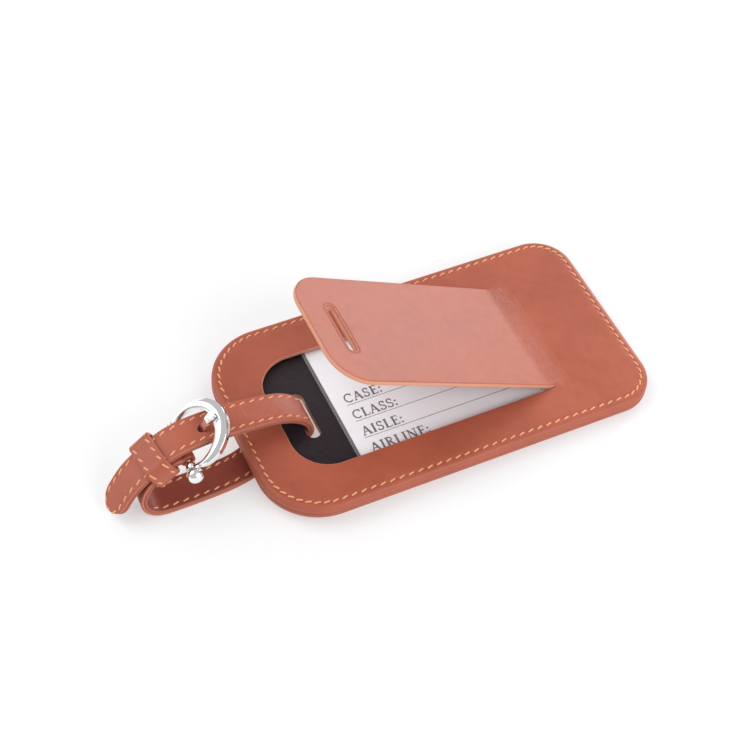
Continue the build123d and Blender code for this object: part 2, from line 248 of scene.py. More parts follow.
def joined(shapes):
    """Several closed shapes, as (points, faces), made one; their faces are turned the way the first one's are."""
    sense = signed_volume(*shapes[0]) > 0
    points, faces, used = [], [], 0
    for corners, quads in shapes:
        if (signed_volume(corners, quads) > 0) != sense:
            quads = quads[:, ::-1]
        points.append(corners)
        faces.append(quads + used)
        used += len(corners)
    return np.concatenate(points), np.concatenate(faces)


def add_object(name, data):
    thing = bpy.data.objects.new(name, data)
    bpy.context.scene.collection.objects.link(thing)
    return thing


def place(name, mesh, body, material, stands_for=()):
    """Puts a finished mesh into the scene, riding on its body. A body given as several names is not attached: the
    piece's place is baked into its mesh.
    """
    piece = add_object(name, mesh)
    mesh.materials.append(material)
    if isinstance(body, str):
        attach(piece, body)
    else:
        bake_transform(piece)
    if stands_for:
        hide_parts(*stands_for)
    return piece


def closed_pipe(sections):
    """Points, faces and end caps of a tube from its sections, an array of (rows, corners, 3)."""
    rows, columns = sections.shape[:2]
    last = (rows - 1) * columns
    caps = [np.arange(columns)[::-1], np.arange(last, last + columns)]
    return sections.reshape(-1, 3), grid_faces(rows, columns), caps


# --- flat outlines ---
def rounded_outline(u_low, u_high, width, radius_low, radius_high, count):
    """A rectangle with quarter-circle corners, as points evenly spaced along it, counter-clockwise from the
    middle of its high end, with outward normals and each point's length along it."""
    half = width / 2
    turn = np.linspace(0, math.pi / 2, 90)
    corners = []
    for u, v, radius, quarter in (
        (u_high, half, radius_high, 0), (u_low, half, radius_low, 1),
        (u_low, -half, radius_low, 2), (u_high, -half, radius_high, 3),
    ):
        centre = np.array([u - math.copysign(radius, u - (u_low + u_high) / 2), v - math.copysign(radius, v)])
        angle = turn + quarter * math.pi / 2
        corners.append(centre + radius * np.stack([np.cos(angle), np.sin(angle)], axis=1))
    path = np.concatenate([[[u_high, 0.0]], *corners, [[u_high, 0.0]]])
    return even_loop(path, count)


def even_loop(path, count):
    """Evenly spaced points of a closed path, their outward normals and lengths along it."""
    lengths = lengths_along(path)
    wanted = np.arange(count) * lengths[-1] / count
    points = sampled(wanted, lengths, path)
    along = unit(np.roll(points, -1, axis=0) - np.roll(points, 1, axis=0))
    return points, np.stack([along[:, 1], -along[:, 0]], axis=1), wanted, lengths[-1]


def seen_from(centre, points, loop):
    """For each point, the point of the loop in the same direction from the centre, and the loop's normal there."""
    line, normals = loop[:2]
    angle = np.arctan2(*(line - centre).T[::-1])
    wanted = np.arctan2(*(points - centre).T[::-1])
    found = [np.interp(wanted, angle, values, period=2 * math.pi) for values in (*line.T, *normals.T)]
    return np.column_stack(found[:2]), unit(np.column_stack(found[2:]))


def ring_sheet(outline, hole, centre, rows):
    """A sheet of leather between its outline and a hole in it. Each row of the grid is one loop:
    ("rim", d, w) lies d inside the outline, ("hole", d, w) lies d outside the hole, and ("span", f, w) lies the
    share f of the way from the deepest rim row to the widest hole row, all at height w. Returns U, V, W by row
    and column."""
    points, normals, _, _ = outline
    deepest = max(d for kind, d, _ in rows if kind == "rim")
    border = points - normals * deepest
    inner, outwards = seen_from(centre, border, hole)
    shoulder = inner + outwards * max(d for kind, d, _ in rows if kind == "hole")
    loops = []
    for kind, amount, w in rows:
        flat = {
            "rim": points - normals * amount,
            "span": border + (shoulder - border) * amount,
            "hole": inner + outwards * amount,
        }[kind]
        loops.append(np.column_stack([flat, np.full(len(flat), w)]))
    return np.array(loops)


def stitch_dimples(sheet, outline, rows, top=True, depth=0.09):
    """Presses the row of stitches into the rim: a shallow channel, deeper at each needle hole."""
    _, _, lengths, total = outline
    count = round(total / STITCH_PITCH)
    hole = 0.5 + 0.5 * np.cos(2 * math.pi * lengths * count / total)
    for i, (kind, amount, _) in enumerate(rows):
        if kind == "rim" and 1.2 < amount < 3.2:
            channel = math.exp(-(((amount - STITCH_INSET) / 0.38) ** 2))
            dip = channel * depth * (0.9 + 1.1 * hole**3)
            sheet[i, :, 2] -= dip if top else -dip
    return sheet


# --- shaders ---
class Value:
    """A socket used in Python expressions: each operation adds one Math node."""

    def __init__(self, finish, socket):
        self.finish = finish
        self.socket = socket

    def math(self, operation, first, second=0.0, third=0.0):
        return self.finish.node("Math", 0, {"operation": operation}, {0: first, 1: second, 2: third})

    def __add__(self, other):
        return self.math("ADD", self, other)

    def __rsub__(self, other):
        return self.math("SUBTRACT", other, self)

    def __mul__(self, other):
        return self.math("MULTIPLY", self, other)

    __radd__ = __add__
    __rmul__ = __mul__

    def sine(self):
        return self.math("SINE", self)

    def within(self, low, high):
        """0 at low and below, 1 at high and above."""
        return self.finish.node("MapRange", 0, {"clamp": True}, {"Value": self, "From Min": low, "From Max": high})


class Finish:
    """A material and the one method that adds nodes to it."""

    def __init__(self, name):
        self.material = bpy.data.materials.new(name)
        self.material.use_nodes = True
        self.tree = self.material.node_tree
        self.tree.nodes.clear()

    def node(self, kind, output, settings=None, sockets=None):
        """Adds a node, sets its settings, then gives its sockets values or links; returns one output."""
        node = self.tree.nodes.new("ShaderNode" + kind)
        for key, value in (settings or {}).items():
            setattr(node, key, value)
        for key, value in (sockets or {}).items():
            if isinstance(value, Value):
                self.tree.links.new(value.socket, node.inputs[key])
            else:
                node.inputs[key].default_value = value
        return Value(self, node.outputs[output])

    def place(self):
        """Object coordinates in millimetres."""
        coordinates = self.node("TexCoord", "Object")
        return self.node("VectorMath", 0, {"operation": "SCALE"}, {0: coordinates, "Scale": 1000.0})

    def note(self, name, vector=False):
        return self.node("Attribute", "Vector" if vector else "Fac", {"attribute_name": name})

    def stretched(self, where, scale):
        return self.node("VectorMath", 0, {"operation": "MULTIPLY"}, {0: where, 1: scale})

    def noise(self, where, scale, detail=3.0, roughness=0.5):
        return self.node("TexNoise", 0, {}, {"Vector": where, "Scale": scale, "Detail": detail,
                                             "Roughness": roughness})

    def cells(self, where, scale):
        """Distance to the nearest cell border, 0 on the border."""
        return self.node("TexVoronoi", 0, {"feature": "DISTANCE_TO_EDGE"}, {"Vector": where, "Scale": scale})

    def mix(self, share, first, second):
        return self.node("Mix", 2, {"data_type": "RGBA"}, {0: share, 6: first, 7: second})

    def bump(self, height, distance, below=None, strength=1.0):
        sockets = {"Height": height, "Distance": distance * MM, "Strength": strength}
        if below is not None:
            sockets["Normal"] = below
        return self.node("Bump", 0, {}, sockets)

    def surface(self, **sockets):
        """Ends the material with a Principled shader; socket names have _ for spaces."""
        named = {key.replace("_", " "): value for key, value in sockets.items()}
        shader = self.node("BsdfPrincipled", 0, {}, named)
        output = self.tree.nodes.new("ShaderNodeOutputMaterial")
        self.tree.links.new(shader.socket, output.inputs[0])
        return self.material


def paint(name, factor=1.0):
    """A colour from the settings, made lighter or darker by a factor."""
    channels = getattr(bpy.context.scene.tag_colours, name)
    return (*(channel * factor for channel in channels[:3]), 1.0)


def sizes():
    return bpy.context.scene.tag_sizes


@functools.cache
def finish(name):
    """The material of that name, made the first time it is asked for."""
    return FINISHES[name]()


def leather_finish(name, face, deep):
    """Smooth aniline leather: cloudy colour, fine pores, soft wrinkles at the bend and pale cut edges."""
    f = Finish(name)
    where = f.note("hide", vector=True)
    raw = f.note("cut")
    bend = f.note("bend")
    pore_scale = MM / sizes().grain
    clouds = f.noise(where, 0.05, 4.0, 0.55)
    blotches = f.noise(where, 0.35, 3.0)
    pores = f.cells(where, pore_scale)
    fibres = f.noise(where, 5.0, 3.0, 0.6)
    tone = (clouds * 0.75 + blotches * 0.25).within(0.36, 0.64)
    dyed = f.mix(tone, deep, face)
    dyed = f.mix(pores.within(0.10, 0.0) * 0.22, dyed, deep)
    base = f.mix(raw * (0.7 + 0.3 * fibres), dyed, paint("leather_raw"))
    grain = pores.within(0.0, 0.22) * 0.7 + fibres * 0.3
    folds = f.noise(f.stretched(where, (1.5, 0.5, 1.0)), 1.0, 5.0, 0.66)
    rolling = f.noise(where, 0.11, 2.0)
    normal = f.bump(rolling, 0.9, strength=0.35)
    normal = f.bump(folds * bend, 0.38, normal)
    normal = f.bump(grain, 0.016, normal)
    rough = 0.36 + 0.10 * clouds + 0.12 * (1 - pores.within(0.0, 0.2)) + 0.25 * raw
    return f.surface(Base_Color=base, Roughness=rough, Normal=normal, Specular_IOR_Level=0.36)


def thread_finish():
    """Waxed twisted thread: slanting plies, with painted shade between them."""
    f = Finish("waxed thread")
    lay = f.note("hide", vector=True)
    along = f.node("SeparateXYZ", 0, {}, {0: lay})
    around = f.node("SeparateXYZ", 1, {}, {0: lay})
    plies = 0.5 + 0.5 * (along * (2 * math.pi / 0.62) + around * (2 * math.pi)).sine()
    fluff = f.noise(lay, 4.0, 3.0)
    # The darker thread colour is painted shade, laid in the hollows between the plies
    base = f.mix((plies * 0.7 + fluff * 0.5).within(0.15, 0.75), paint("thread", 0.72), paint("thread"))
    return f.surface(Base_Color=base, Roughness=0.5 + 0.2 * fluff, Normal=f.bump(plies, 0.07))


def chrome_finish():
    """Polished plated metal with faint buffing marks."""
    f = Finish("polished metal")
    where = f.place()
    haze = f.noise(where, 0.5, 3.0)
    marks = f.noise(f.stretched(where, (1.0, 14.0, 1.0)), 1.2, 2.0)
    base = f.mix(haze.within(0.3, 0.7), paint("metal", 0.95), paint("metal"))
    return f.surface(Base_Color=base, Metallic=1.0, Roughness=0.09 + 0.08 * haze * marks,
                     Normal=f.bump(marks, 0.0005))


def lining_finish():
    """Black coated lining with a fine crossed grain."""
    f = Finish("black lining")
    where = f.place()
    weft = f.noise(f.stretched(where, (1.0, 0.25, 1.0)), 2.6, 3.0, 0.6)
    warp = f.noise(f.stretched(where, (0.25, 1.0, 1.0)), 2.6, 3.0, 0.6)
    grain = weft * 0.6 + warp * 0.4
    base = f.mix(grain.within(0.35, 0.7), paint("lining"), paint("lining", 2.2))
    return f.surface(Base_Color=base, Roughness=0.5 + 0.15 * weft, Normal=f.bump(grain, 0.12),
                     Specular_IOR_Level=0.3)


def board_finish():
    """Grey-brown fibre board."""
    f = Finish("fibre board")
    fibres = f.noise(f.stretched(f.place(), (0.3, 1.0, 1.0)), 2.0, 4.0, 0.7)
    base = f.mix(fibres, (0.22, 0.17, 0.13, 1.0), (0.40, 0.33, 0.26, 1.0))
    return f.surface(Base_Color=base, Roughness=0.8 + 0.1 * fibres, Normal=f.bump(fibres, 0.08))


def card_finish():
    """Smooth white card with faint fibres."""
    f = Finish("white card")
    where = f.place()
    fibres = f.noise(f.stretched(where, (0.4, 1.0, 1.0)), 3.0, 4.0, 0.6)
    base = f.mix(fibres.within(0.35, 0.65), paint("card", 0.97), paint("card"))
    return f.surface(Base_Color=base, Roughness=0.45 + 0.15 * fibres, Normal=f.bump(fibres, 0.01))


def ink_finish():
    """Printed ink, slightly uneven."""
    f = Finish("printed ink")
    spread = f.noise(f.place(), 6.0, 2.0)
    return f.surface(Base_Color=f.mix(spread.within(0.3, 0.7), paint("ink"), paint("ink", 2.5)),
                     Roughness=0.5 + 0.2 * spread)


def film_finish():
    """Clear film that mostly shows as a shine."""
    f = Finish("clear film")
    haze = f.noise(f.place(), 0.15, 2.0)
    return f.surface(Base_Color=(0.93, 0.95, 0.97, 1.0), Roughness=0.06 + 0.05 * haze, Alpha=0.07 + 0.04 * haze,
                     Specular_IOR_Level=0.5, Normal=f.bump(haze, 0.3))


FINISHES = {
    "leather": lambda: leather_finish("leather", paint("leather"), paint("leather_deep")),
    # The inner face's leather: partly its own darker brown, partly painted shade
    "inner leather": lambda: leather_finish(
        "inner leather", paint("inner_leather"), paint("inner_leather", 0.8)),
    "thread": thread_finish,
    "chrome": chrome_finish,
    "lining": lining_finish,
    "board": board_finish,
    "card": card_finish,
    "ink": ink_finish,
    "film": film_finish,
}


# --- the case's leather ---
COLUMNS = 840


def case_outline():
    half = CASE_LENGTH / 2
    return rounded_outline(-half, half, CASE_WIDTH, STRAP_END_RADIUS, CLOSED_END_RADIUS, COLUMNS)


def slot_loop(middle_u, length, width, count=400):
    """A slot across the case: a rectangle with half-round ends."""
    return rounded_outline(middle_u - width / 2, middle_u + width / 2, length, width / 2 - 0.01,
                           width / 2 - 0.01, count)


def sheet_piece(name, sheet, notes, body, stands_for, shape=None):
    """Makes a ring sheet into a piece; shape may bend the finished (U, V, W) points."""
    rows, columns = sheet.shape[:2]
    flat = sheet.reshape(-1, 3)
    points = flat if shape is None else shape(flat)
    notes = {"hide": flat, **{key: values.ravel() for key, values in notes.items()}}
    mesh = make_mesh(name, from_case(points), grid_faces(rows, columns, close_rows=True), notes=notes)
    return place(name, mesh, body, finish("leather"), stands_for)


def creased(flat):
    """How near a point is to the flap's bend, 1 at the bend and 0 beyond the wrinkled band."""
    across = 1 - smooth_step((np.abs(flat[..., 1]) - 17.5) / 4.0)
    along = smooth_step((flat[..., 0] - 25.0) / 4.5) * (1 - smooth_step((flat[..., 0] - 30.5) / 4.2))
    return along * across


class FrontPanel(bpy.types.Operator):
    """Front panel: a stitched sheet with rounded turned edges and a window cut out of it"""

    bl_idname = "tag.front_panel"
    bl_label = "Front panel"

    def execute(self, context):
        window = rounded_outline(WINDOW_END_U, CREASE_U, WINDOW_WIDTH, WINDOW_RADIUS, 0.4, 700)
        top = CASE_TOP
        rows = [
            ("rim", 0.35, 2.22), ("rim", 0.10, 2.34), ("rim", 0.0, 2.62), ("rim", 0.0, 3.3), ("rim", 0.06, 3.75),
            ("rim", 0.24, 4.2), ("rim", 0.52, 4.5), ("rim", 0.9, 4.69), ("rim", 1.3, 4.76), ("rim", 1.6, top - 0.02),
            ("rim", 1.85, top), ("rim", 2.1, top), ("rim", 2.35, top), ("rim", 2.6, top), ("rim", 2.9, top + 0.02),
            ("rim", 3.6, top + 0.03), ("rim", 4.6, top + 0.01),
            *[("span", f, top) for f in np.linspace(0.08, 0.88, 12)],
            ("hole", 0.7, top), ("hole", 0.3, top - 0.01), ("hole", 0.1, top - 0.05), ("hole", 0.0, top - 0.16),
            ("hole", 0.0, 4.1), ("hole", 0.0, 3.55), ("hole", 0.12, FRONT_UNDERSIDE),
            ("span", 0.5, FRONT_UNDERSIDE), ("rim", 3.4, FRONT_UNDERSIDE), ("rim", 3.3, 2.25),
        ]
        outline = case_outline()
        sheet = ring_sheet(outline, window, np.array([-7.0, 0.0]), rows)
        sheet = stitch_dimples(sheet, outline, rows)
        cut = np.zeros(sheet.shape[:2])
        for i, (kind, amount, w) in enumerate(rows):
            cut[i] = (1.0 if amount < 0.05 else 0.35 if amount < 0.2 else 0.0) if kind == "hole" else 0.0
        sheet_piece("front_leather", sheet, {"cut": cut, "bend": creased(sheet)}, "case",
                    ["front_panel"])
        return {"FINISHED"}


class BackPanel(bpy.types.Operator):
    """Back panel: a flat sheet with rounded edges and the strap's slot"""

    bl_idname = "tag.back_panel"
    bl_label = "Back panel"

    def execute(self, context):
        slot = slot_loop(STRAP_SLOT_U, 16.0, 3.1)
        rows = [
            ("rim", 0.35, 2.18), ("rim", 0.10, 2.05), ("rim", 0.0, 1.8), ("rim", 0.0, 1.15), ("rim", 0.1, 0.7),
            ("rim", 0.32, 0.34), ("rim", 0.65, 0.12), ("rim", 1.1, 0.03), ("rim", 1.5, 0.0), ("rim", 1.85, 0.0),
            ("rim", 2.1, 0.0), ("rim", 2.35, 0.0), ("rim", 2.7, 0.0), ("rim", 3.6, 0.0), ("rim", 4.6, 0.0),
            *[("span", f, 0.0) for f in np.linspace(0.06, 0.94, 14)],
            ("hole", 0.25, 0.0), ("hole", 0.06, 0.04), ("hole", 0.0, 0.15), ("hole", 0.0, 1.2),
            ("hole", 0.1, 1.3), ("span", 0.5, 1.3), ("rim", 3.4, 1.3), ("rim", 3.3, 2.15),
        ]
        outline = case_outline()
        sheet = ring_sheet(outline, slot, np.array([STRAP_SLOT_U, 0.0]), rows)
        sheet = stitch_dimples(sheet, outline, rows, top=False)
        cut = np.array([[1.0 if kind == "hole" and amount < 0.07 else 0.0] * COLUMNS for kind, amount, _ in rows])
        notes = {"cut": cut, "bend": np.zeros(sheet.shape[:2])}
        sheet_piece("back_leather", sheet, notes, "case", ["back_panel"])
        return {"FINISHED"}


FLAP_LIFT = math.radians(28.0)
BEND_START_U = 32.3
ROOT_U = 35.6


def bend_flap(flat):
    """Bends the flat flap up: beyond BEND_START_U the leather follows an arc that turns through the lift angle,
    then goes straight on. Heights stay square to the leather, measured from its upper face."""
    radius = (BEND_START_U - CREASE_U) / math.tan(FLAP_LIFT / 2)
    run = np.maximum(BEND_START_U - flat[:, 0], 0.0)
    angle = np.minimum(run / radius, FLAP_LIFT)
    beyond = np.maximum(run - radius * FLAP_LIFT, 0.0)
    rise = flat[:, 2] - CASE_TOP
    u = BEND_START_U - (radius - rise) * np.sin(angle) - beyond * np.cos(angle)
    w = CASE_TOP + radius - (radius - rise) * np.cos(angle) + beyond * np.sin(angle)
    return np.column_stack([np.where(run > 0, u, flat[:, 0]), flat[:, 1], np.where(run > 0, w, flat[:, 2])])


class PrivacyFlap(bpy.types.Operator):
    """Privacy flap: leather cut from the window, bent up along its crease, with a bound slot near its end"""

    bl_idname = "tag.privacy_flap"
    bl_label = "Privacy flap"

    def execute(self, context):
        low = WINDOW_END_U + CUT_WIDTH
        width = WINDOW_WIDTH - 2 * CUT_WIDTH
        outline = rounded_outline(low, ROOT_U, width, WINDOW_RADIUS - CUT_WIDTH, 0.6, COLUMNS)
        slot = slot_loop(FLAP_SLOT_U, 16.0, 2.3)
        top, under = CASE_TOP, FRONT_UNDERSIDE
        rows = [
            ("rim", 0.22, under), ("rim", 0.06, under + 0.08), ("rim", 0.0, under + 0.25), ("rim", 0.0, 4.1),
            ("rim", 0.0, top - 0.25), ("rim", 0.06, top - 0.1), ("rim", 0.2, top - 0.02), ("rim", 0.5, top + 0.01),
            *[("span", f, top) for f in np.concatenate([np.linspace(0.008, 0.2, 20), np.linspace(0.23, 0.9, 16)])],
            ("hole", 1.35, top + 0.02), ("hole", 1.15, top - 0.03), ("hole", 0.95, top - 0.17),
            ("hole", 0.75, top - 0.04), ("hole", 0.55, top + 0.02), ("hole", 0.25, top - 0.02),
            ("hole", 0.06, top - 0.1), ("hole", 0.0, top - 0.3), ("hole", 0.0, under + 0.2), ("hole", 0.1, under),
            *[("span", f, under) for f in np.concatenate([np.linspace(0.9, 0.23, 10), np.linspace(0.2, 0.01, 14)])],
        ]
        sheet = ring_sheet(outline, slot, np.array([FLAP_SLOT_U, 0.0]), rows)
        kinds = np.array([kind for kind, _, _ in rows])
        depth = np.array([amount for _, amount, _ in rows])
        cut = np.zeros(sheet.shape[:2])
        cut[(kinds == "rim") & (depth < 0.05)] = 1.0
        cut[(kinds == "rim") & (depth < 0.1) & (depth > 0.05)] = 0.55
        cut[(kinds == "hole") & (depth < 0.05)] = 0.8
        rooted = smooth_step((sheet[..., 0] - CREASE_U + 0.5) / 0.5)
        edge = np.array([smooth_step((0.6 - d) / 0.6) if k == "rim" else 0.0 for k, d, _ in rows])[:, None]
        skin = np.where(sheet[..., 2] > 4.0, CASE_TOP + 0.012 - 0.45 * edge, CASE_TOP - 0.7)
        sheet[..., 2] = sheet[..., 2] * (1 - rooted) + skin * rooted
        cut = cut * (1 - rooted)
        ends = from_case([[BEND_START_U, 0, CASE_TOP], [28.0, 0, 6.0]])
        sheet_piece("flap_leather", sheet, {"cut": cut, "bend": creased(sheet)}, ("case", "flap", *ends),
                    ["privacy_flap"], bend_flap)
        return {"FINISHED"}


# --- stitches ---
def stitch_points(middles, along, up, length, width, height, slant=0.28):
    """Every stitch as a short thick thread: its middle line is an arch that dives into the leather at both ends,
    and its section is an ellipse that narrows there. Returns points, faces, caps and notes."""
    rings, corners = 9, 8
    side = np.cross(up, along)
    lean = along + side * slant
    run = np.linspace(-1, 1, rings)
    turn = np.arange(corners) * 2 * math.pi / corners
    arch = -(np.abs(run) ** 4) * height * 1.15
    girth = np.sqrt(np.clip(1 - np.abs(run) ** 6, 0.12, 1))
    line = (middles[:, None] + lean[:, None] * (run * length / 2)[None, :, None]
            + up[:, None] * arch[None, :, None])
    points = (line[:, :, None]
              + side[:, None, None] * (girth[:, None] * np.cos(turn) * width / 2)[None, :, :, None]
              + up[:, None, None] * (girth[:, None] * np.sin(turn) * height / 2)[None, :, :, None])
    count = len(middles)
    per = rings * corners
    faces = (grid_faces(rings, corners)[None] + np.arange(count)[:, None, None] * per).reshape(-1, 4)
    first = np.arange(count) * per
    caps = [cap for start in first for cap in
            (start + np.arange(corners)[::-1], start + per - corners + np.arange(corners))]
    note = np.zeros(points.shape)
    note[..., 0] = (run * length / 2)[None, :, None] + np.arange(count)[:, None, None] * 3.7
    note[..., 1] = (turn / (2 * math.pi))[None, None, :]
    return points.reshape(-1, 3), faces, caps, {"hide": note.reshape(-1, 3)}


def border_stitches(level, up_w):
    """The border's stitches on one face of the case, in the case's frame."""
    points, normals, _, total = case_outline()
    count = round(total / STITCH_PITCH)
    wanted = (np.arange(count) + 0.5) * total / count
    lengths = np.arange(COLUMNS + 1) * total / COLUMNS
    looped = [np.vstack([a, a[:1]]) for a in (points - normals * STITCH_INSET, normals)]
    flat, out = (sampled(wanted, lengths, rows) for rows in looped)
    out = unit(out)
    middles = np.column_stack([flat, np.full(count, level)])
    along = np.column_stack([-out[:, 1], out[:, 0], np.zeros(count)])
    up = np.tile([0.0, 0.0, up_w], (count, 1))
    return middles, along, up


class BorderStitches(bpy.types.Operator):
    """Border stitches on the front and back of the case"""

    bl_idname = "tag.border_stitches"
    bl_label = "Border stitches"

    def execute(self, context):
        width = sizes().thread_width / MM
        for name, level, up_w, node in (
            ("border_stitches_front", CASE_TOP + 0.02, 1.0, "perimeter_thread_front"),
            ("border_stitches_back", 0.07, -1.0, "perimeter_thread_back"),
        ):
            seam = border_stitches(level, up_w)
            points, faces, caps, notes = stitch_points(*seam, BORDER_STITCH, width, THREAD_HEIGHT)
            mesh = make_mesh(name, from_case(points), faces, caps, notes)
            place(name, mesh, "case", finish("thread"), [node])
        return {"FINISHED"}


# --- the strap ---
def rounded_path(route, step, smoothing=7):
    """Straight runs joined by arcs. At a corner the arc touches both runs at the stated share of the shorter one;
    the whole line is then evenly spaced and each point averaged with its neighbours."""
    corners, shares = route[:, :3], route[:, 3]
    parts = [corners[:1]]
    for before, corner, after, share in zip(corners[:-2], corners[1:-1], corners[2:], shares[1:-1]):
        reach = share * min(np.linalg.norm(corner - before), np.linalg.norm(after - corner))
        start = corner + unit(before - corner) * reach
        end = corner + unit(after - corner) * reach
        half_turn = math.acos(np.clip(np.dot(unit(corner - before), unit(after - corner)), -1, 1)) / 2
        centre = corner + unit((start + end) / 2 - corner) * reach / math.sin(half_turn)
        share_round = np.linspace(0, 1, 24)[:, None]
        angle = 2 * half_turn * share_round
        arc = centre + ((start - centre) * np.sin(2 * half_turn - angle) + (end - centre) * np.sin(angle)) / math.sin(
            2 * half_turn)
        parts.append(arc)
    path = np.concatenate([*parts, corners[-1:]])
    lengths = lengths_along(path)
    count = int(lengths[-1] / step)
    wanted = np.linspace(0, lengths[-1], count)
    even = sampled(wanted, lengths, path)
    padded = np.concatenate([
        2 * even[0] - even[smoothing:0:-1], even, 2 * even[-1] - even[-2:-smoothing - 2:-1]])
    kernel = np.ones(2 * smoothing + 1) / (2 * smoothing + 1)
    return np.column_stack([np.convolve(padded[:, i], kernel, "valid") for i in range(3)])


def frames_along(path):
    """Unit vectors along, across (as level with Y as the direction lets it lie) and outwards, and lengths."""
    along = unit(np.gradient(path, axis=0))
    across = unit(np.array([0.0, 1.0, 0.0]) - along * along[:, 1:2])
    lengths = lengths_along(path)
    return along, across, np.cross(across, along), lengths


def strap_section(side):
    """Half of the strap's section, from the glue line to one face: crowned edges, a flat face and a shallow
    channel under each row of stitches. Returns (across, outwards) pairs, counter-clockwise seen along."""
    face = np.linspace(-4.3, 4.3, 61)
    level = STRAP_HALF + 0.03 * (1 - (face / 4.8) ** 2)
    level -= 0.11 * np.exp(-(((np.abs(face) - STRAP_STITCH_ROW) / 0.28) ** 2))
    edge = np.array([(4.55, STRAP_HALF - 0.05), (4.7, STRAP_HALF - 0.18), (4.79, STRAP_HALF - 0.38), (4.8, 0.4),
                     (4.76, 0.18), (4.66, 0.04)])
    inner = np.array([(x, 0.01) for x in (4.2, 2.0, 0.0, -2.0, -4.2)])
    loop = np.vstack([np.column_stack([face, level]), edge, inner, edge[::-1] * [-1, 1]])
    return loop * [1, side]


TIP_LENGTH = 4.6


def strap_half(name, side, material, stands_for):
    """One of the strap's two leathers, carried along its middle line and rounded off at the tip."""
    path = rounded_path(STRAP_ROUTE, 0.33)
    along, across, outwards, lengths = frames_along(path)
    section = strap_section(side)
    to_end = lengths[-1] - lengths
    taper = np.sqrt(np.clip(1 - (np.maximum(TIP_LENGTH - to_end, 0) / TIP_LENGTH) ** 2, 0.004, 1))
    wave = 0.05 * np.sin(lengths * 0.21) + 0.04 * np.sin(lengths * 0.47 + 1.0)
    offset = section[None, :, 0] * (taper * (1 + wave * 0.12))[:, None]
    points = (path[:, None] + across[:, None] * offset[..., None]
              + outwards[:, None] * section[None, :, 1, None])
    flat, faces, caps = closed_pipe(points)
    note = np.stack(np.broadcast_arrays(lengths[:, None] + 60, offset, section[None, :, 1] + 0 * offset), axis=-1)
    on_edge = np.abs(section[:, 0]) > 4.58
    cut = np.broadcast_to(np.where(on_edge, 0.22, 0.0), points.shape[:2])
    tight = np.clip(1.2 - 0.2 * np.abs(lengths - 88.0) / 4.0, 0.0, 0.35)
    bend = np.broadcast_to(tight[:, None], points.shape[:2])
    mesh = make_mesh(name, from_table(flat), faces, caps,
                     {"hide": note.reshape(-1, 3), "cut": cut.ravel(), "bend": bend.ravel()})
    return place(name, mesh, "strap", finish(material), stands_for)


def carve(piece, tool_points, tool_faces, tool_caps):
    """Cuts a closed shape out of a piece and leaves a finished mesh."""
    tool = add_object("tool", make_mesh("tool", tool_points, tool_faces, tool_caps))
    modifier = piece.modifiers.new("hole", "BOOLEAN")
    modifier.operation = "DIFFERENCE"
    modifier.solver = "EXACT"
    modifier.object = tool
    graph = bpy.context.evaluated_depsgraph_get()
    done = bpy.data.meshes.new_from_object(piece.evaluated_get(graph), depsgraph=graph)
    piece.modifiers.clear()
    piece.data = done
    bpy.data.objects.remove(tool, do_unlink=True)


def prong_hole():
    """A long slot through the strap, its section carried straight up."""
    loop = rounded_outline(-68.1, -65.3, 2.6, 1.29, 1.29, 48)[0] + [0, -1.6]
    levels = np.array([14.0, 19.5])
    points = np.concatenate([np.column_stack([loop, np.full(len(loop), z)]) for z in levels])
    return closed_pipe(from_table(points).reshape(2, len(loop), 3))


class Strap(bpy.types.Operator):
    """Strap: two leathers glued back to back, with the prong's hole and the end turned round the bar"""

    bl_idname = "tag.strap"
    bl_label = "Strap"

    def execute(self, context):
        outer = strap_half("strap_outer", 1, "leather", ["strap_outer_leather"])
        # The inner leather's darker colour is partly painted shade
        inner = strap_half("strap_inner", -1, "inner leather", ["strap_lining_leather"])
        for piece in (outer, inner):
            carve(piece, *prong_hole())
        rings = []
        for low, high in ((-4.8, -1.35), (1.35, 4.8)):
            middle, half = (low + high) / 2, (high - low) / 2
            loop = rounded_box_loop(half, 0.56, 0.35, 6)
            turn = np.arange(64) * 2 * math.pi / 64
            radius = 1.46 + loop[:, 1]
            points = np.stack(np.broadcast_arrays(
                np.cos(turn)[:, None] * radius, middle + loop[:, 0], np.sin(turn)[:, None] * radius), axis=-1)
            rings.append(((points + BAR).reshape(-1, 3), grid_faces(64, len(loop), close_rows=True)))
        flat, faces = joined(rings)
        zero = np.zeros(len(flat))
        mesh = make_mesh("strap_fold", from_table(flat), faces,
                         notes={"hide": flat, "cut": zero, "bend": zero})
        place("strap_fold", mesh, "strap", finish("leather"))
        return {"FINISHED"}


def rounded_box_loop(half_width, half_height, radius, per_corner):
    """A rectangle with round corners as a closed loop of (across, up) pairs."""
    turn = np.linspace(0, math.pi / 2, per_corner)
    parts = []
    for i, (a, b) in enumerate(((1, 1), (-1, 1), (-1, -1), (1, -1))):
        centre = np.array([a * (half_width - radius), b * (half_height - radius)])
        angle = turn + i * math.pi / 2
        parts.append(centre + radius * np.column_stack([np.cos(angle), np.sin(angle)]))
    return np.concatenate(parts)


